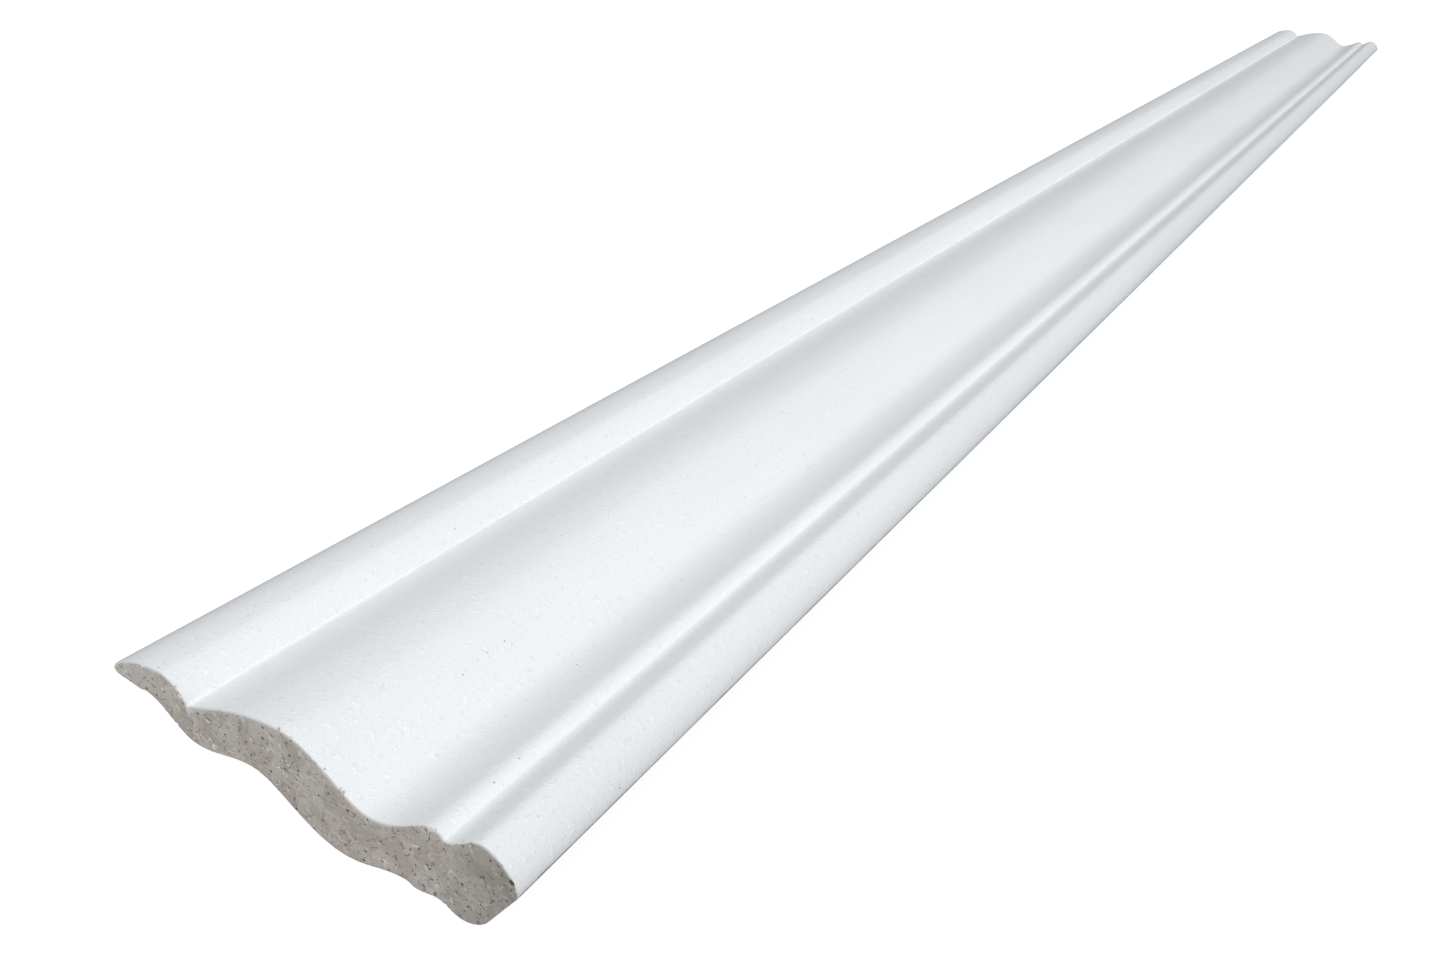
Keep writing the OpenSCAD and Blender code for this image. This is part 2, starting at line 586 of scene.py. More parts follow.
@dataclass
class MeshParts:
    """Points, faces and figures of one mesh, gathered piece by piece."""

    labels: tuple[str, ...]
    points: list[np.ndarray] = field(default_factory=list)
    figures: list[np.ndarray] = field(default_factory=list)
    faces: list[np.ndarray] = field(default_factory=list)
    finishes: list[np.ndarray] = field(default_factory=list)
    count: int = 0

    def add(self, points: np.ndarray, **figures: Any) -> np.ndarray:
        """Adds points.

        Args:
            points: Positions, in an array of any shape whose last axis is x, y, z.
            **figures: A number for each point, or one for them all, under the figure's label. A
                figure that isn't given is 0.

        Returns:
            Indices of the points, in the same shape.
        """
        shape = points.shape[:-1]
        columns = [np.broadcast_to(figures.get(label, 0.0), shape).ravel() for label in self.labels]
        self.points.append(points.reshape(-1, 3))
        self.figures.append(np.stack(columns, axis=-1))
        first = self.count
        self.count += len(self.points[-1])
        return np.arange(first, self.count).reshape(shape)

    def join(self, corners: np.ndarray, finish: Any) -> None:
        """Adds faces, one to a row of corner indices, with a finish's index for each or for all."""
        self.faces.append(corners)
        self.finishes.append(np.broadcast_to(finish, (len(corners),)))

    def build(self, name: str, crease: float) -> bpy.types.Object:
        """Makes the mesh and its object.

        Args:
            name: Name of the object.
            crease: Angle in radians past which an edge stays sharp.

        Returns:
            The object, linked to the scene, at the origin.
        """
        mesh = bpy.data.meshes.new(name)
        corners = np.concatenate([face.ravel() for face in self.faces])
        totals = np.concatenate([np.full(len(face), face.shape[1]) for face in self.faces])
        starts = np.concatenate([[0], np.cumsum(totals)[:-1]])
        mesh.vertices.add(self.count)
        mesh.loops.add(len(corners))
        mesh.polygons.add(len(totals))
        mesh.vertices.foreach_set("co", np.vstack(self.points).astype(np.float32).ravel())
        mesh.loops.foreach_set("vertex_index", corners.astype(np.int32))
        mesh.polygons.foreach_set("loop_start", starts.astype(np.int32))
        mesh.polygons.foreach_set("material_index", np.concatenate(self.finishes).astype(np.int32))
        mesh.update(calc_edges=True)
        numbers = np.vstack(self.figures).astype(np.float32)
        for column, label in enumerate(self.labels):
            attribute = mesh.attributes.new(label, "FLOAT", "POINT")
            attribute.data.foreach_set("value", np.ascontiguousarray(numbers[:, column]))
        mesh.shade_smooth()
        mesh.set_sharp_from_angle(angle=crease)
        thing = bpy.data.objects.new(name, mesh)
        bpy.context.scene.collection.objects.link(thing)
        return thing


@dataclass(frozen=True)
class Knock:
    """A round dent in a sawn end, in millimetres, placed on the chord."""

    along: float
    height: float
    radius: float
    depth: float

    def dent(self, chord: Points) -> np.ndarray:
        """Depth of the dent at each point of the section's grid.

        Formula: the depth times 1 - (distance / radius) squared, and nothing outside the radius.
        """
        distance = np.hypot(chord[..., 0] - self.along, chord[..., 1] - self.height)
        return self.depth * np.clip(1.0 - (distance / self.radius) ** 2, 0.0, 1.0)


@dataclass(frozen=True)
class SawnEnd:
    """Relief of a sawn end, in millimetres. All of it goes into the solid.

    Pits are small and close together, and holes are larger and few. Both are scattered by the seed.
    """

    end: End
    seed: int
    knocks: tuple[Knock, ...] = ()
    ripple: float = 0.10
    ripple_cell: float = 8.0
    grain: float = 0.07
    grain_cell: float = 0.8
    pit_depth: float = 0.45
    pit_cell: float = 3.6
    pit_share: float = 0.24
    pit_radius: float = 0.55
    hole_depth: float = 0.55
    hole_cell: float = 9.0
    hole_share: float = 0.5
    hole_radius: float = 0.8
    edge_wear: float = 0.10
    edge_reach: float = 0.45

    def depth(self, chord: Points, inset: np.ndarray) -> np.ndarray:
        """How far each point of the cut lies inside its plane.

        Formula: saw ripple and grain from two lattice noises, the deepest of the scattered pits, the
        scattered holes and the knocks, and a rounding of the edge that falls off exponentially from
        the border.

        Args:
            chord: Positions of the section's grid on its chord.
            inset: Distance of each point from the border.

        Returns:
            The depths, one to a grid point.
        """
        x, y = chord[..., 0], chord[..., 1]
        ripple = self.ripple * lattice_noise(x, y, self.ripple_cell, self.seed)
        grain = self.grain * lattice_noise(x, y, self.grain_cell, self.seed + 1)
        scatter = pitting(x, y, self.pit_cell, self.pit_share, self.pit_radius, self.seed + 2)
        holes = pitting(x, y, self.hole_cell, self.hole_share, self.hole_radius, self.seed + 7)
        pits = np.maximum(self.pit_depth * scatter, self.hole_depth * holes)
        for knock in self.knocks:
            pits = np.maximum(pits, knock.dent(chord))
        return ripple + grain + pits + self.edge_wear * np.exp(-inset / self.edge_reach)


@dataclass(frozen=True)
class TornFibres:
    """Short fibres that the saw left standing on the edge of a cut, in millimetres."""

    end: End
    seed: int
    stations: tuple[float, ...]
    length: float = 1.5
    radius: float = 0.17
    sides: int = 6
    rings: int = 7
    bend: float = 0.7
    shortest: float = 0.45
    tip: float = 0.1
    taper: float = 1.5
    root_depth: float = 0.8
    behind_cut: float = 0.2

    def tubes(self, feet: Points, outward: Points, place: float) -> np.ndarray:
        """Tapering tubes, one to a fibre.

        Formula: each fibre's middle line leaves the face along its normal, leans at random and bends
        sideways with the square of the distance. Its radius falls with a power of the distance to the
        tip's share. The shortest fibre is a share of the full length.

        Args:
            feet: Where each fibre stands, in x and z, in metres.
            outward: Direction away from the face at each foot.
            place: Where the fibres stand along Y, in metres.

        Returns:
            The points by fibre, ring and side.
        """
        draw = np.random.default_rng(self.seed)
        lean, kick = draw.uniform(-1, 1, (2, len(feet), 1))
        scale = draw.uniform(self.shortest, 1.0, (len(feet), 1))
        share = np.linspace(0.0, 1.0, self.rings)[None, :]
        rise = -self.root_depth + share * (self.length * scale + self.root_depth)
        drift = (lean * share + self.bend * kick * share**2) * scale
        sideways = np.stack([outward[:, 1], -outward[:, 0]], axis=-1)
        course = rise[..., None] * outward[:, None] + drift[..., None] * sideways[:, None]
        middle = feet[:, None] + course * MM
        angle = np.linspace(0.0, 2 * math.pi, self.sides, endpoint=False)
        radius = (self.radius * MM * (1.0 - (1.0 - self.tip) * share**self.taper))[..., None]
        across = middle[:, :, None] + (radius * np.cos(angle))[..., None] * sideways[:, None, None]
        along = np.broadcast_to(place + radius * np.sin(angle), across.shape[:-1])
        return np.stack([across[..., 0], along, across[..., 1]], axis=-1)


@dataclass(frozen=True)
class Unevenness:
    """Slow waves that the press and the coat leave in the skin, in millimetres, all inward."""

    height: float = 0.10
    across: float = 16.0
    along: float = 170.0
    fade: float = 60.0
    seed: int = 3

    def depth(self, girth: np.ndarray, places: np.ndarray, length: float) -> np.ndarray:
        """Depth of the waves.

        Formula: a lattice noise, drawn out along the length, times the distance to the nearer end as
        a share of the fade, up to 1.

        Args:
            girth: Distance round the section at each point of a ring.
            places: Distance of each ring from the near end.
            length: Length of the moulding.

        Returns:
            The depths, one row to a ring.
        """
        round_about, along = np.meshgrid(girth, places)
        wave = lattice_noise(round_about / self.across, along / self.along, 1.0, self.seed)
        to_end = np.minimum(along, length - along)
        return self.height * wave * np.clip(to_end / self.fade, 0.0, 1.0)


NEAR_TUFTS = (26.0, 65.8, 66.5, 67.0, 87.2, 87.7, 88.1, 88.6, 119.0)
FAR_TUFTS = (12.0, 45.0, 92.0, 117.0)


@dataclass
class MouldingLength:
    """The whole length: its skin, its two sawn ends and the fibres torn at their edges.

    Sizes are in millimetres. The rings of the skin stand at the end steps from each end, and evenly
    between them. Between two rings a strip of the skin has the primed finish where it lies more than
    the full coat inside the primer's edge, and elsewhere the pressed one, which has that edge.
    """

    name: str = "crown_moulding_length"
    section: MouldingSection = field(default_factory=MouldingSection)
    ends: tuple[SawnEnd, SawnEnd] = (
        SawnEnd(End.NEAR, seed=11, knocks=(Knock(142.0, 3.0, radius=1.0, depth=0.9),)),
        SawnEnd(End.FAR, seed=53, hole_share=0.2),
    )
    torn: tuple[TornFibres, ...] = (
        TornFibres(End.NEAR, seed=5, stations=NEAR_TUFTS),
        TornFibres(End.FAR, seed=9, stations=FAR_TUFTS),
    )
    unevenness: Unevenness = Unevenness()
    stations: int = 48
    end_steps: tuple[float, ...] = (1.5, 5.0, 14.0)
    crease: float = math.radians(42.0)
    coat_over_nose: float = 0.7
    coat_short_of_arris: float = 0.25
    full_coat: float = 5.0

    def build(self, low: Vector, high: Vector) -> bpy.types.Object:
        """Makes the mesh.

        Args:
            low: Lowest corner of the solid.
            high: Highest corner of the solid.

        Returns:
            The finished object, without its materials.
        """
        chord = self.section.grid()
        grid = self.section.at_rest(low, high)
        rows, columns = border_indices(*grid.shape[:2])
        girth = travelled(chord[rows, columns])
        coat = self.coat(girth)
        border = np.zeros((2, *grid.shape[:2]))
        border[:, rows, columns] = girth, coat
        parts = MeshParts(tuple(figure.value for figure in Figure))
        cuts = [
            self.add_cut(parts, cut, grid, chord, border, cut.end.plane(low, high)) for cut in self.ends
        ]
        rings = self.add_rings(parts, grid[rows, columns], girth, coat, low.y, high.y)
        skin = np.vstack([cuts[0][rows, columns], rings, cuts[1][rows, columns]])
        deep = np.minimum(coat, np.roll(coat, -1)) > self.full_coat
        finish = np.where(deep, Finish.PRIMED.value, Finish.PRESSED.value)
        parts.join(quads(skin, wraps=True)[:, ::-1], np.tile(finish, len(skin) - 1))
        for fibres in self.torn:
            self.add_fibres(parts, fibres, grid, chord, fibres.end.plane(low, high))
        return parts.build(self.name, self.crease)

    def coat(self, girth: np.ndarray) -> np.ndarray:
        """Distance of each border point inside the primer's edge, less than 0 on the bare back.

        Formula: the lesser of the distances round the section from the edge near the arris and to
        the edge past the nose.

        Args:
            girth: Distance round the section at each border point, out along the back, up the foot,
                home along the face and down the lip.

        Returns:
            The distances, in millimetres.
        """
        cells_along, cells_through = self.section.cells_along, self.section.cells_through
        arris = girth[cells_along + cells_through]
        nose = girth[2 * cells_along + cells_through]
        return np.minimum(girth - arris - self.coat_short_of_arris, nose + self.coat_over_nose - girth)

    def add_cut(
        self,
        parts: MeshParts,
        cut: SawnEnd,
        grid: Points,
        chord: Points,
        border: np.ndarray,
        plane: float,
    ) -> np.ndarray:
        """Adds a sawn end.

        Formula: each point of the section's grid goes into the solid by the depth of the relief.

        Args:
            parts: The mesh in the making.
            cut: The end and its relief.
            grid: The section at rest, in metres.
            chord: The section on its chord, in millimetres.
            border: Two grids that are filled at the border only: the distance round the section, and
                the distance inside the primer's edge, in millimetres.
            plane: Where the cut lies along Y, in metres.

        Returns:
            Indices of the end's points.
        """
        from_face = np.linalg.norm(chord - chord[:, -1:], axis=-1)
        from_back = np.linalg.norm(chord - chord[:, :1], axis=-1)
        depth = cut.depth(chord, np.minimum(from_face, from_back))
        points = np.stack([grid[..., 0], plane - cut.end.value * depth * MM, grid[..., 1]], axis=-1)
        made = parts.add(
            points,
            girth=border[0],
            coat_inset=border[1],
            pit_depth=depth,
            rim_inset=from_face,
            chord_place=chord[..., 0],
        )
        faces = quads(made, wraps=False)
        parts.join(faces[:, ::-1] if cut.end is End.NEAR else faces, Finish.SAWN.value)
        return made

    def add_rings(
        self,
        parts: MeshParts,
        line: Points,
        girth: np.ndarray,
        coat: np.ndarray,
        near: float,
        far: float,
    ) -> np.ndarray:
        """Adds the rings of the skin between the two ends, closer together towards each end.

        Formula: each ring is the section's border, moved inward by the unevenness at its place.

        Args:
            parts: The mesh in the making.
            line: Border of the section, in metres.
            girth: Distance round the section at each border point, in millimetres.
            coat: Distance of each border point inside the primer's edge, in millimetres.
            near: Where the near end is along Y, in metres.
            far: Where the far end is along Y, in metres.

        Returns:
            Indices of the rings' points, one row to a ring.
        """
        steps = np.array(self.end_steps)
        length = (far - near) / MM
        middle = np.linspace(steps[-1], length - steps[-1], self.stations)[1:-1]
        places = np.concatenate([steps, middle, length - steps[::-1]])
        inward = left_of(np.roll(line, -1, axis=0) - np.roll(line, 1, axis=0))
        depth = self.unevenness.depth(girth, places, length)[..., None] * MM
        across = line + depth * inward
        along = np.broadcast_to((near + places * MM)[:, None], across.shape[:-1])
        points = np.stack([across[..., 0], along, across[..., 1]], axis=-1)
        return parts.add(points, girth=girth, coat_inset=coat)

    def add_fibres(
        self, parts: MeshParts, fibres: TornFibres, grid: Points, chord: Points, plane: float
    ) -> None:
        """Adds the fibres torn at one cut's edge, each a closed tube.

        Formula: each stands on the face at the point nearest its station, square to the face.

        Args:
            parts: The mesh in the making.
            fibres: The fibres and the end that they are on.
            grid: The section at rest, in metres.
            chord: The section on its chord, in millimetres.
            plane: Where the cut lies along Y, in metres.
        """
        face, along = grid[:, -1], chord[:, -1, 0]
        rows = np.abs(along[:, None] - np.array(fibres.stations)).argmin(axis=0)
        outward = left_of(np.gradient(face, axis=0)[rows])
        place = plane - fibres.end.value * fibres.behind_cut * MM
        for tube in parts.add(fibres.tubes(face[rows], outward, place), rim_inset=1.0):
            parts.join(quads(tube, wraps=True), Finish.SAWN.value)
            parts.join(tube[:1, ::-1], Finish.SAWN.value)
            parts.join(tube[-1:], Finish.SAWN.value)


# ---------------------------------------------------------------------------------------------
# Shader maths
# ---------------------------------------------------------------------------------------------


SHIFT = (371.0, 913.0)
REFRACTIVE_INDEX = 1.5


@dataclass(frozen=True)
class Curls:
    """Thin curly lines in broken lengths.

    Attributes:
        size: Size of the curls, in millimetres.
        width: Half width of a line, as a share of the range of the noise that it follows.
        least: What a second noise has to pass where a line shows, so that less keeps more of them.
        steps: How many steps the pattern is shifted by, so that no two patterns look related.
        strength: How strongly the lines show, from 0 to 1.
        softness: Softness of a line's edges, as a share of its half width.
        break_size: Size of the second noise, as a share of the curls'.
        break_softness: How gently a line fades where it breaks.
    """

    size: float
    width: float
    least: float
    steps: float = 0.0
    strength: float = 1.0
    softness: float = 0.7
    break_size: float = 0.8
    break_softness: float = 0.05


@dataclass(frozen=True)
class Specks:
    """Scattered dots.

    Attributes:
        cell: Size of the cells that hold at most one dot, in millimetres.
        radius: Radius of the largest dots, in millimetres.
        share: Share of the cells that hold one.
        steps: How many steps the pattern is shifted by, so that no two patterns look related.
        strength: How strongly the dots show, from 0 to 1.
        spread: How much smaller the smallest dots are, as a share of the largest radius.
        softness: Softness of a dot's edge, as a share of the largest radius.
    """

    cell: float
    radius: float
    share: float
    steps: float = 0.0
    strength: float = 1.0
    spread: float = 0.6
    softness: float = 0.3


class Shade:
    """An output of a shader node that takes part in Python expressions.

    Each operator adds the Math node that works it out and returns that node's result.
    """

    def __init__(self, graph: "Graph", socket: bpy.types.NodeSocket) -> None:
        """Keeps the graph and the output socket."""
        self.graph = graph
        self.socket = socket

    def _math(self, operation: str, *operands: Number) -> "Shade":
        """Result of a Math node on the operands."""
        return self.graph.node("ShaderNodeMath", {"operation": operation}, dict(enumerate(operands)))

    def __add__(self, other: Number) -> "Shade":
        """This plus other."""
        return self._math("ADD", self, other)

    __radd__ = __add__

    def __sub__(self, other: Number) -> "Shade":
        """This minus other."""
        return self._math("SUBTRACT", self, other)

    def __rsub__(self, other: Number) -> "Shade":
        """Other minus this."""
        return self._math("SUBTRACT", other, self)

    def __mul__(self, other: Number) -> "Shade":
        """This times other."""
        return self._math("MULTIPLY", self, other)

    __rmul__ = __mul__

    def __or__(self, other: Number) -> "Shade":
        """The greater of this and other."""
        return self._math("MAXIMUM", self, other)

    __ror__ = __or__

    def __abs__(self) -> "Shade":
        """Size of this without its sign."""
        return self._math("ABSOLUTE", self)

    def over(self, edge: float, softness: float) -> "Shade":
        """From 0 below an edge to 1 above it, eased over a softness on both sides."""
        inputs = {0: self, 1: edge - softness, 2: edge + softness}
        return self.graph.node("ShaderNodeMapRange", {"interpolation_type": "SMOOTHSTEP"}, inputs)

    def under(self, edge: float, softness: float) -> "Shade":
        """From 1 below an edge to 0 above it, eased over a softness on both sides."""
        return 1.0 - self.over(edge, softness)

    def sibling(self, output: int | str) -> "Shade":
        """Another output of the same node."""
        return Shade(self.graph, self.socket.node.outputs[output])


class Graph:
    """The nodes of one material."""

    def __init__(self, name: str) -> None:
        """Makes the material with an empty graph.

        Args:
            name: Name of the material.
        """
        self.material = bpy.data.materials.new(name)
        self.material.use_nodes = True
        self.tree = self.material.node_tree
        self.tree.nodes.clear()

    def node(
        self,
        kind: str,
        settings: Mapping[str, Any] | None = None,
        inputs: Mapping[int | str, Any] | None = None,
        output: int | str = 0,
    ) -> Shade | None:
        """Adds any node.

        Args:
            kind: Type of the node.
            settings: Its properties, which are set first.
            inputs: A value or a Shade for each of its sockets, by name or number.
            output: Which of its outputs to return.

        Returns:
            That output, or None where the node has no outputs.
        """
        made = self.tree.nodes.new(kind)
        for key, value in (settings or {}).items():
            setattr(made, key, value)
        for key, value in (inputs or {}).items():
            if isinstance(value, Shade):
                self.tree.links.new(value.socket, made.inputs[key])
            else:
                made.inputs[key].default_value = value
        return Shade(self, made.outputs[output]) if len(made.outputs) else None

    def place(self, axis: str) -> Shade:
        """Position in the object along one of its axes, in millimetres."""
        metres = self.node("ShaderNodeTexCoord", output="Object")
        return self.node("ShaderNodeSeparateXYZ", None, {0: metres}, axis) * (1 / MM)

    def on_cut(self) -> Shade:
        """Position on a cut end, in millimetres: across the moulding, then up."""
        return self.node("ShaderNodeCombineXYZ", None, {0: self.place("X"), 1: self.place("Z")})

    def on_skin(self) -> Shade:
        """Position on the skin as if unrolled, in millimetres: round the section, then along."""
        inputs = {0: self.figure(Figure.GIRTH), 1: self.place("Y")}
        return self.node("ShaderNodeCombineXYZ", None, inputs)

    def stretched(self, place: Shade, times: float) -> Shade:
        """A position whose pattern is drawn out along the moulding by a number of times."""
        inputs = {0: place, 1: (1.0, 1 / times, 1.0)}
        return self.node("ShaderNodeVectorMath", {"operation": "MULTIPLY"}, inputs)

    def shifted(self, place: Shade, steps: float) -> Shade:
        """A position moved by a number of steps, each long enough to make a pattern look unrelated."""
        inputs = {0: place, 1: (SHIFT[0] * steps, SHIFT[1] * steps, 0.0)}
        return self.node("ShaderNodeVectorMath", {"operation": "ADD"}, inputs)

    def figure(self, figure: Figure) -> Shade:
        """A number that the mesh carries at each point."""
        return self.node("ShaderNodeAttribute", {"attribute_name": figure.value}, output="Fac")

    def noise(self, place: Shade, size: float, detail: float = 1.0, roughness: float = 0.5) -> Shade:
        """Noise from 0 to 1 with features of about a size in millimetres."""
        inputs = {"Vector": place, "Scale": 1 / size, "Detail": detail, "Roughness": roughness}
        return self.node("ShaderNodeTexNoise", {"noise_dimensions": "2D"}, inputs, "Fac")

    def curls(self, place: Shade, lines: Curls) -> Shade:
        """Mask of thin curly lines.

        Formula: the lines are where a noise passes its middle value, and a second noise keeps the
        stretches of them where it is over a least value.

        Args:
            place: The position, in millimetres.
            lines: The lines' sizes.

        Returns:
            The mask, from 0 between the lines to their strength on them.
        """
        start = self.shifted(place, lines.steps)
        line = abs(self.noise(start, lines.size) - 0.5).under(lines.width, lines.width * lines.softness)
        breaks = self.noise(self.shifted(start, 1.0), lines.size * lines.break_size, detail=0.0)
        return line * breaks.over(lines.least, lines.break_softness) * lines.strength

    def specks(self, place: Shade, dots: Specks) -> Shade:
        """Mask of scattered dots.

        Formula: each cell of a Voronoi pattern has a random centre and random numbers. One of these
        says whether the cell has a dot and another how far its edge is drawn in.

        Args:
            place: The position, in millimetres.
            dots: The dots' sizes.

        Returns:
            The mask, from 0 between the dots to their strength on them.
        """
        inputs = {"Vector": self.shifted(place, dots.steps), "Scale": 1 / dots.cell}
        settings = {"voronoi_dimensions": "2D"}
        distance = self.node("ShaderNodeTexVoronoi", settings, inputs, "Distance")
        chance = self.node("ShaderNodeSeparateColor", None, {0: distance.sibling("Color")})
        radius = dots.radius / dots.cell
        drawn_in = distance + chance.sibling("Green") * (radius * dots.spread)
        dot = drawn_in.under(radius, radius * dots.softness)
        return dot * chance.under(dots.share, 0.001) * dots.strength

    def blend(self, factor: Number, first: Any, second: Any) -> Shade:
        """Mix of two colours: the first where the factor is 0, the second where it is 1."""
        return self.node("ShaderNodeMix", {"data_type": "RGBA"}, {0: factor, 6: first, 7: second}, 2)

    def bump(self, height: Shade) -> Shade:
        """Normal tilted by a height in millimetres."""
        return self.node("ShaderNodeBump", None, {"Height": height, "Strength": 1.0, "Distance": MM})

    def finish(self, colour: Shade, roughness: Number, normal: Shade) -> bpy.types.Material:
        """Ends the graph in a Principled shader with the moulding's one refractive index.

        Args:
            colour: Base colour.
            roughness: Roughness.
            normal: Normal.

        Returns:
            The material.
        """
        inputs = {"Base Color": colour, "Roughness": roughness, "Normal": normal}
        inputs |= {"IOR": REFRACTIVE_INDEX}
        shader = self.node("ShaderNodeBsdfPrincipled", None, inputs, "BSDF")
        self.node("ShaderNodeOutputMaterial", None, {"Surface": shader})
        return self.material


def rgba(red: float, green: float, blue: float) -> tuple[float, float, float, float]:
    """A colour for a shader, from sRGB values out of 255.

    Formula: the usual sRGB curve, a straight foot and then a power of 2.4.

    Args:
        red: Red.
        green: Green.
        blue: Blue.

    Returns:
        Linear red, green and blue from 0 to 1, and an alpha of 1.
    """
    values = np.array([red, green, blue]) / 255.0
    linear = np.where(values <= 0.04045, values / 12.92, ((values + 0.055) / 1.055) ** 2.4)
    return (*linear.tolist(), 1.0)


# ---------------------------------------------------------------------------------------------
# Finishes
# ---------------------------------------------------------------------------------------------


@dataclass(frozen=True)
class FibreBoard:
    """Bare fibre composite: a taupe mat with pale curly fibres, dark strokes, pits in painted shade and
    soft mottling.

    Colours are sRGB out of 255 and sizes are in millimetres. A share is how much of a colour goes in.
    """

    base: tuple[float, float, float] = (190, 184, 177)
    dusky: tuple[float, float, float] = (175, 168, 160)
    warm: tuple[float, float, float] = (180, 160, 149)
    pale: tuple[float, float, float] = (226, 223, 217)
    dark: tuple[float, float, float] = (58, 53, 49)
    roughness: float = 0.85
    mottle_size: float = 9.0
    grain_size: float = 0.6
    grain_share: float = 0.07
    crowd_size: float = 14.0
    crowd_steps: float = 7.0
    sparse_share: float = 0.3
    fibre_share: float = 0.9
    reddish: Curls = Curls(3.6, 0.026, 0.56, steps=5.0, strength=0.7)
    long_fibres: Curls = Curls(4.4, 0.017, 0.55)
    short_fibres: Curls = Curls(2.2, 0.019, 0.60, steps=3.0, strength=0.7)
    strokes: Curls = Curls(2.6, 0.016, 0.56, steps=9.0, strength=0.7)
    coarse_pits: Specks = Specks(3.4, 0.42, 0.34)
    fine_pits: Specks = Specks(1.9, 0.22, 0.14, steps=11.0, strength=0.7)

    def mat(self, graph: Graph, place: Shade) -> tuple[Shade, Shade, Shade]:
        """The mat without its pits.

        Args:
            graph: The material's graph.
            place: Position in millimetres.

        Returns:
            The colour, the mask of its pale fibres and its fine grain, both from 0 to 1.
        """
        mottle = graph.noise(place, self.mottle_size, detail=2.0).over(0.5, softness=0.14)
        colour = graph.blend(mottle, rgba(*self.base), rgba(*self.dusky))
        colour = graph.blend(graph.curls(place, self.reddish), colour, rgba(*self.warm))
        grain = graph.noise(place, self.grain_size, detail=2.0, roughness=0.6)
        shade = grain.over(0.52, softness=0.3) * self.grain_share
        colour = graph.blend(shade, colour, rgba(*self.dark))
        crowd = graph.noise(graph.shifted(place, self.crowd_steps), self.crowd_size)
        crowded = crowd.over(0.48, softness=0.1)
        fibres = graph.curls(place, self.long_fibres) | graph.curls(place, self.short_fibres)
        pale = fibres * (self.sparse_share + (1.0 - self.sparse_share) * crowded)
        return graph.blend(pale * self.fibre_share, colour, rgba(*self.pale)), pale, grain

    def pits(self, graph: Graph, place: Shade) -> Shade:
        """Mask of the pits too fine for the mesh, darkened as painted shade, and of the dark strokes.

        Args:
            graph: The material's graph.
            place: Position in millimetres.

        Returns:
            The mask, from 0 to 1.
        """
        specks = graph.specks(place, self.coarse_pits) | graph.specks(place, self.fine_pits)
        return specks | graph.curls(place, self.strokes)


@dataclass(frozen=True)
class WhitePrimer:
    """Factory primer: cool satin white, with the finest fibres of the board just raised under it.

    Colours are sRGB out of 255 and sizes are in millimetres. A share is how much of a colour goes in,
    and a draw is how many times longer a pattern is along the moulding than across it.
    The paler white on the raised threads is a painted highlight.
    """

    base: tuple[float, float, float] = (242, 245, 247)
    shaded: tuple[float, float, float] = (239, 242, 244)
    # Paler white painted on the raised threads: a painted highlight.
    thread_highlight: tuple[float, float, float] = (249, 251, 253)
    thin: tuple[float, float, float] = (226, 228, 230)
    speck: tuple[float, float, float] = (150, 149, 145)
    roughness: float = 0.27
    unevenness: float = 0.10
    peel_size: float = 1.3
    peel_share: float = 0.22
    peel_height: float = 0.006
    thread_highlight_share: float = 0.6
    thread_height: float = 0.055
    mottle_size: float = 30.0
    mottle_draw: float = 5.0
    wave_size: float = 16.0
    wave_draw: float = 8.0
    wave_height: float = 0.22
    coarse_threads: Curls = Curls(4.2, 0.026, 0.64, steps=2.0)
    fine_threads: Curls = Curls(2.4, 0.034, 0.67, steps=4.0)
    dusty: Curls = Curls(3.0, 0.026, 0.68, steps=6.0, strength=0.13)
    specks: Specks = Specks(10.0, 0.30, 0.2, strength=0.8)

    def coat(self, graph: Graph, place: Shade) -> tuple[Shade, Shade, Shade, Shade]:
        """The coat, with slow mottling, orange peel, raised threads in painted highlight, a few dark
        specks.

        Args:
            graph: The material's graph.
            place: Position in millimetres.

        Returns:
            The colour, the roughness, the height in millimetres and the orange peel from 0 to 1.
        """
        peel = graph.noise(place, self.peel_size)
        threads = graph.curls(place, self.coarse_threads) | graph.curls(place, self.fine_threads)
        slow = graph.noise(graph.stretched(place, self.mottle_draw), self.mottle_size, detail=2.0)
        colour = graph.blend(slow.over(0.5, softness=0.3), rgba(*self.base), rgba(*self.shaded))
        thin = peel.over(0.62, softness=0.16) * self.peel_share
        colour = graph.blend(thin, colour, rgba(*self.thin))
        # Painted highlight: the threads are paled as if light caught the raised fibres; the bump gives
        # their relief.
        colour = graph.blend(threads * self.thread_highlight_share, colour, rgba(*self.thread_highlight))
        colour = graph.blend(graph.curls(place, self.dusty), colour, rgba(*self.speck))
        colour = graph.blend(graph.specks(place, self.specks), colour, rgba(*self.speck))
        waves = graph.noise(graph.stretched(place, self.wave_draw), self.wave_size)
        height = waves * self.wave_height + peel * self.peel_height + threads * self.thread_height
        return colour, self.roughness + self.unevenness * peel, height, peel


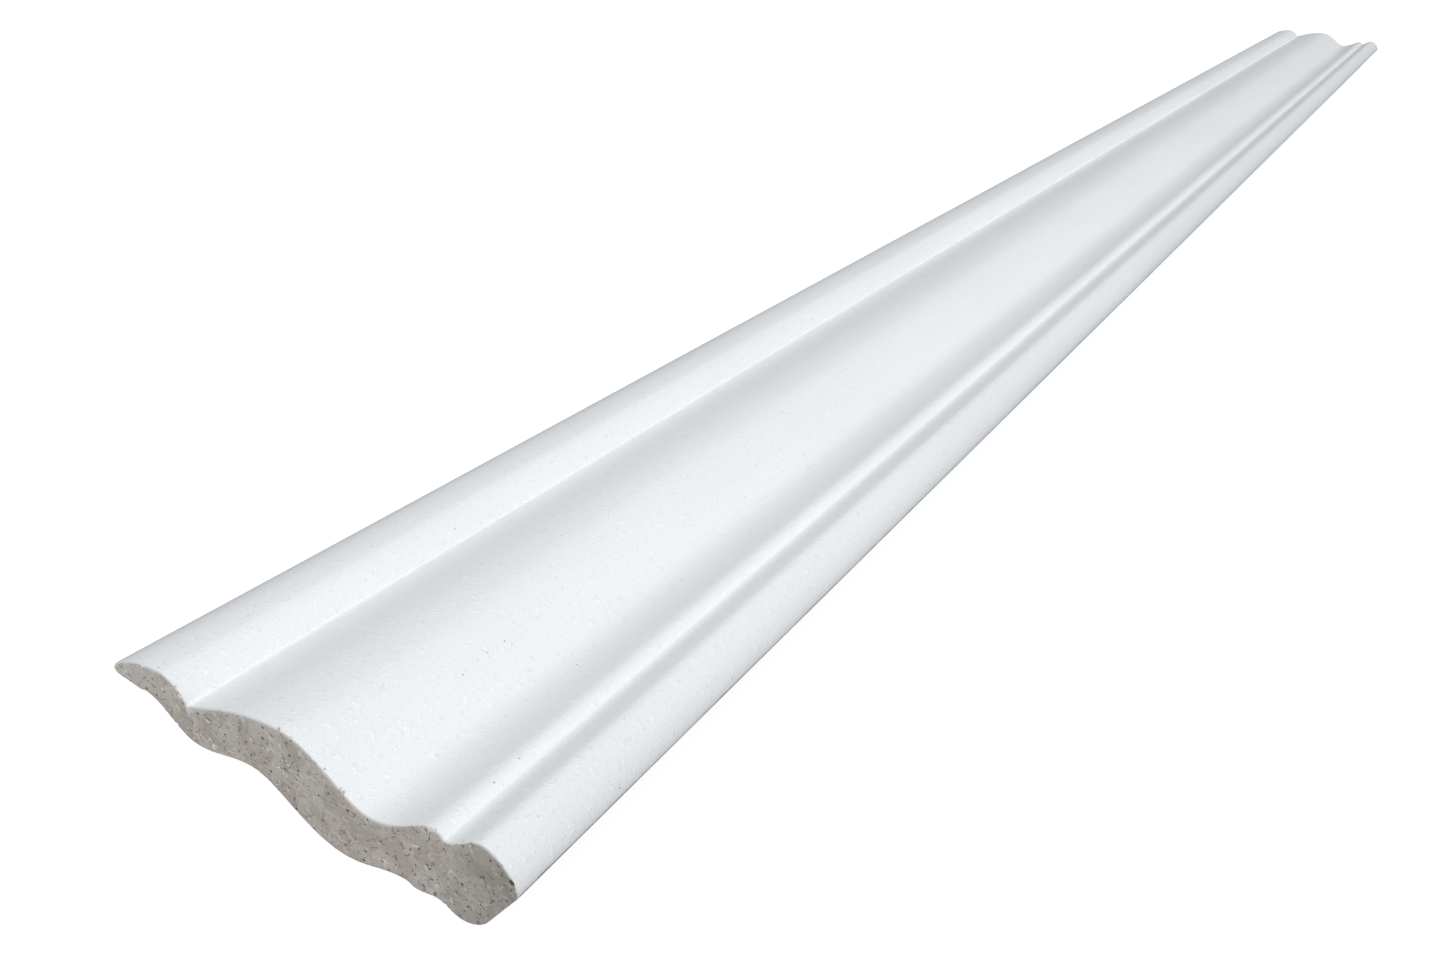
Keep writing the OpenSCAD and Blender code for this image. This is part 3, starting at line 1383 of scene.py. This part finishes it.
@dataclass(frozen=True)
class MouldingFinishes:
    """The finishes of the length: primed face, pressed back and sawn ends.

    Sizes are in millimetres. A share is how much of a colour goes in, from 0 to 1.
    """

    primer: WhitePrimer = WhitePrimer()
    board: FibreBoard = FibreBoard()
    board_height: float = 0.05
    streak_draw: float = 50.0
    streak_size: float = 1.8
    streak_share: float = 0.22
    # Share of painted shade that darkens the back's pits.
    back_pit_shade_share: float = 0.6
    ragged: float = 0.9
    ragged_draw: float = 3.0
    ragged_size: float = 4.0
    spatter: float = 6.0
    spatter_least: float = 0.75
    lip_ends: float = 24.0
    lip_share: float = 0.17
    foot_starts: float = 126.0
    foot_share: float = 0.3
    under_face_reach: float = 1.5
    under_face_share: float = 0.22
    # The two below: depth past which the mesh's pits, and the share by which all pits, are darkened
    # with painted shade.
    shaded_pit_depth: float = 0.42
    pit_share: float = 0.85
    pit_height: float = 0.12
    wobble: float = 0.6
    slur_place: float = 30.5
    slur_width: float = 3.6
    slur_depth: float = 3.4
    slur_share: float = 0.6
    rim: float = 0.68
    rim_share: float = 0.85
    rim_smoothness: float = 0.3

    def primed(self) -> bpy.types.Material:
        """The face, where the coat is whole.

        Returns:
            The material.
        """
        graph = Graph("primed_face")
        colour, roughness, height, _ = self.primer.coat(graph, graph.on_skin())
        return graph.finish(colour, roughness, graph.bump(height))

    def pressed(self) -> bpy.types.Material:
        """The back and the edges: bare pressed board, and primer with a ragged edge.

        Formula: the coat covers what lies inside its edge, which a noise makes ragged, and drops of it
        lie beyond the edge where the orange peel is at its highest.

        Returns:
            The material.
        """
        graph = Graph("pressed_back")
        place = graph.on_skin()
        white, smooth, white_height, peel = self.primer.coat(graph, place)
        bare, pale, grain = self.board.mat(graph, place)
        streaks = graph.noise(graph.stretched(place, self.streak_draw), self.streak_size, detail=2.0)
        streak_shade = streaks.over(0.5, softness=0.25) * self.streak_share
        bare = graph.blend(streak_shade, bare, rgba(*self.board.dark))
        pits = self.board.pits(graph, place)
        # Painted shade: the back's pits are darkened as shade would fall in them.
        bare = graph.blend(pits * self.back_pit_shade_share, bare, rgba(*self.board.dark))
        wander = graph.noise(graph.stretched(place, self.ragged_draw), self.ragged_size, detail=2.0)
        inset = graph.figure(Figure.COAT_INSET) + (wander - 0.5) * self.ragged
        drops = (inset + (peel - self.spatter_least) * self.spatter).over(0.0, softness=0.3)
        coat = inset.over(0.0, softness=0.12) | drops
        roughness = self.board.roughness + (smooth - self.board.roughness) * coat
        board_height = (grain + streaks + pale * 0.5 - pits) * self.board_height
        height = white_height * coat + board_height * (1.0 - coat)
        return graph.finish(graph.blend(coat, bare, white), roughness, graph.bump(height))

    def sawn(self) -> bpy.types.Material:
        """The cut ends: bare board, with a rim of primer that slurs over the edge at the quirk.

        Formula: the board is paler at the lip and close under the face, and darker towards the
        foot. The slur fades with the distance from the quirk and from the face.

        Returns:
            The material.
        """
        graph = Graph("sawn_fibre")
        place = graph.on_cut()
        bare, pale, grain = self.board.mat(graph, place)
        rim_inset = graph.figure(Figure.RIM_INSET)
        chord_place = graph.figure(Figure.CHORD_PLACE)
        lip = chord_place.under(self.lip_ends, softness=10.0) * self.lip_share
        foot = chord_place.over(self.foot_starts, softness=14.0) * self.foot_share
        under_face = rim_inset.under(self.under_face_reach, softness=1.0) * self.under_face_share
        bare = graph.blend(lip | under_face, bare, rgba(*self.board.pale))
        bare = graph.blend(foot, bare, rgba(*self.board.dark))
        # Painted shade: the mesh's deeper pits and the mask's finer pits are darkened as shade would
        # fall in them; the strokes are marks of the board.
        deep = graph.figure(Figure.PIT_DEPTH).over(self.shaded_pit_depth, softness=0.14)
        pits = self.board.pits(graph, place) | deep
        bare = graph.blend(pits * self.pit_share, bare, rgba(*self.board.dark))
        wobble = (grain - 0.5) * self.wobble
        off_quirk = abs(chord_place - self.slur_place) * (1.0 / self.slur_width)
        off_centre = off_quirk + rim_inset * (1.0 / self.slur_depth) + wobble
        slur = off_centre.under(0.9, softness=0.4) * self.slur_share
        rim = (rim_inset + wobble * 0.5).under(self.rim, softness=0.2) * self.rim_share
        primer = slur | rim
        colour = graph.blend(primer, bare, rgba(*self.primer.thin))
        roughness = self.board.roughness - self.rim_smoothness * primer
        height = (grain + pale) * self.board_height - pits * self.pit_height
        return graph.finish(colour, roughness, graph.bump(height))

    def dress(self, thing: bpy.types.Object) -> None:
        """Gives the length its materials, in the order of the finishes.

        Args:
            thing: The length.
        """
        makers = {Finish.PRIMED: self.primed, Finish.PRESSED: self.pressed, Finish.SAWN: self.sawn}
        for finish in Finish:
            thing.data.materials.append(makers[finish]())


# ---------------------------------------------------------------------------------------------
# Floor, light and camera
# ---------------------------------------------------------------------------------------------


def direction(azimuth: float, elevation: float) -> Vector:
    """Unit vector towards an azimuth from +Y towards +X and an elevation, both in degrees.

    Formula: the sine and the cosine of the azimuth, each times the cosine of the elevation, and then
    the sine of the elevation.
    """
    turn, rise = math.radians(azimuth), math.radians(elevation)
    return Vector((math.cos(rise) * math.sin(turn), math.cos(rise) * math.cos(turn), math.sin(rise)))


@dataclass(frozen=True)
class SoftLamp:
    """A broad even light from far away. Angles are in degrees; azimuth is from +Y towards +X."""

    name: str
    strength: float
    azimuth: float
    elevation: float
    spread: float

    def build(self) -> None:
        """Makes the lamp."""
        lamp = bpy.data.lights.new(self.name, "SUN")
        lamp.energy = self.strength
        lamp.angle = math.radians(self.spread)
        lamp_object = bpy.data.objects.new(self.name, lamp)
        towards = direction(self.azimuth, self.elevation)
        lamp_object.rotation_euler = towards.to_track_quat("Z", "Y").to_euler()
        bpy.context.scene.collection.objects.link(lamp_object)


@dataclass(frozen=True)
class Studio:
    """A wide pale floor under a pale dome, soft studio light and the camera.

    Distances are in metres, colours are sRGB out of 255, and the camera's angles are in degrees. Its
    place is counted from the middle of the near cut's lower edge, and its azimuth from -Y towards +X.
    """

    floor_reach: float = 60.0
    dome_rise: float = math.radians(80.0)
    dome_rings: int = 9
    dome_sides: int = 64
    floor_colour: tuple[float, float, float] = (150, 151, 152)
    floor_roughness: float = 0.9
    floor_glow: float = 0.86
    glow_colour: tuple[float, float, float] = (254, 254, 255)
    sky_colour: tuple[float, float, float] = (248, 251, 255)
    sky_strength: float = 0.215
    lamps: tuple[SoftLamp, ...] = (
        SoftLamp("key", strength=2.8, azimuth=158.0, elevation=57.0, spread=50.0),
        SoftLamp("fill", strength=0.4, azimuth=186.0, elevation=12.0, spread=40.0),
    )
    camera_offset: tuple[float, float, float] = (0.16228, -0.17019, 0.27802)
    camera_azimuth: float = 22.747
    camera_elevation: float = 32.287
    camera_roll: float = 16.112
    lens: float = 31.45
    sensor: float = 36.0
    nearest: float = 0.01
    farthest: float = 200.0

    def build(self, low: Vector, high: Vector) -> None:
        """Makes the floor, the light and the camera round the solid's box.

        Args:
            low: Lowest corner of the solid.
            high: Highest corner of the solid.
        """
        self.make_floor(low.z)
        self.make_light()
        self.make_camera(Vector(((low.x + high.x) / 2, low.y, low.z)))
        bpy.context.scene.view_settings.view_transform = "Standard"

    def make_floor(self, height: float) -> None:
        """Makes the floor, a sheet just touching the solid from below, and a dome far off all round.

        Formula: the floor and the dome share the floor's rim. The dome's rings rise from it on a
        sphere, in even steps of their angle from the floor, to a small flat top.

        Args:
            height: Height of the floor.
        """
        rises = np.linspace(0.0, self.dome_rise, self.dome_rings)
        turns = np.linspace(0.0, 2 * math.pi, self.dome_sides, endpoint=False)
        rise, turn = np.meshgrid(rises, turns, indexing="ij")
        sphere = [np.cos(rise) * np.cos(turn), np.cos(rise) * np.sin(turn), np.sin(rise)]
        points = np.stack(sphere, axis=-1) * self.floor_reach + np.array([0.0, 0.0, height])
        grid = np.arange(rise.size).reshape(rise.shape)
        paint = self.pale_paint()
        self.add_sheet("floor", points[0], [tuple(range(self.dome_sides))], paint)
        walls = quads(grid, wraps=True).tolist() + [grid[-1].tolist()]
        self.add_sheet("backdrop", points.reshape(-1, 3), walls, paint)

    def pale_paint(self) -> bpy.types.Material:
        """Matt paint with a pale glow of its own, which keeps the floor and the dome evenly white.

        Returns:
            The material.
        """
        graph = Graph("pale_floor")
        inputs = {"Base Color": rgba(*self.floor_colour), "Roughness": self.floor_roughness}
        inputs |= {"Specular IOR Level": 0.0}
        inputs |= {"Emission Color": rgba(*self.glow_colour), "Emission Strength": self.floor_glow}
        shader = graph.node("ShaderNodeBsdfPrincipled", None, inputs, "BSDF")
        graph.node("ShaderNodeOutputMaterial", None, {"Surface": shader})
        graph.material.cycles.emission_sampling = "NONE"
        return graph.material

    def add_sheet(
        self, name: str, points: Points, faces: Sequence[Sequence[int]], paint: bpy.types.Material
    ) -> None:
        """Adds a sheet that is seen but neither shades nor lights anything.

        Args:
            name: Name of the object.
            points: Its corners.
            faces: Its faces, as indices of the corners.
            paint: Its material.
        """
        mesh = bpy.data.meshes.new(name)
        mesh.from_pydata(points.tolist(), [], faces)
        mesh.materials.append(paint)
        sheet = bpy.data.objects.new(name, mesh)
        sheet.visible_diffuse = False
        sheet.visible_glossy = False
        sheet.visible_shadow = False
        bpy.context.scene.collection.objects.link(sheet)

    def make_light(self) -> None:
        """Makes an even pale sky and the lamps."""
        world = bpy.data.worlds.new("studio")
        bpy.context.scene.world = world
        world.use_nodes = True
        background = world.node_tree.nodes["Background"]
        background.inputs["Color"].default_value = rgba(*self.sky_colour)
        background.inputs["Strength"].default_value = self.sky_strength
        for lamp in self.lamps:
            lamp.build()

    def make_camera(self, near_end: Vector) -> None:
        """Makes the camera.

        Formula: the level axis is square to the view and to the vertical, and the steady axis square
        to both. The roll turns these two round the view into the camera's right and up.

        Args:
            near_end: Middle of the near cut's lower edge, which the camera's place is counted from.
        """
        forward = -direction(180.0 - self.camera_azimuth, self.camera_elevation)
        level = forward.cross(Vector((0, 0, 1))).normalized()
        steady = level.cross(forward)
        roll = math.radians(self.camera_roll)
        right = level * math.cos(roll) + steady * math.sin(roll)
        up = steady * math.cos(roll) - level * math.sin(roll)
        lens = bpy.data.cameras.new("camera")
        lens.lens = self.lens
        lens.sensor_width = self.sensor
        lens.dof.use_dof = False
        lens.clip_start = self.nearest
        lens.clip_end = self.farthest
        camera = bpy.data.objects.new("camera", lens)
        turn = Matrix((right, up, -forward)).transposed()
        camera.matrix_world = Matrix.Translation(near_end + Vector(self.camera_offset)) @ turn.to_4x4()
        bpy.context.scene.collection.objects.link(camera)
        bpy.context.scene.camera = camera


def main() -> None:
    """Builds the length and its studio."""
    low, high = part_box(NODE)
    low, high = Vector(low), Vector(high)
    Studio().build(low, high)
    moulding = MouldingLength()
    thing = moulding.build(low, high)
    MouldingFinishes().dress(thing)
    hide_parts(NODE)
    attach(thing, BODY)
    triangles = sum(len(polygon.vertices) - 2 for polygon in thing.data.polygons)
    log.info("%s: %d triangles", thing.name, triangles)


if __name__ == "__main__":
    logging.basicConfig(level=logging.INFO)
    main()
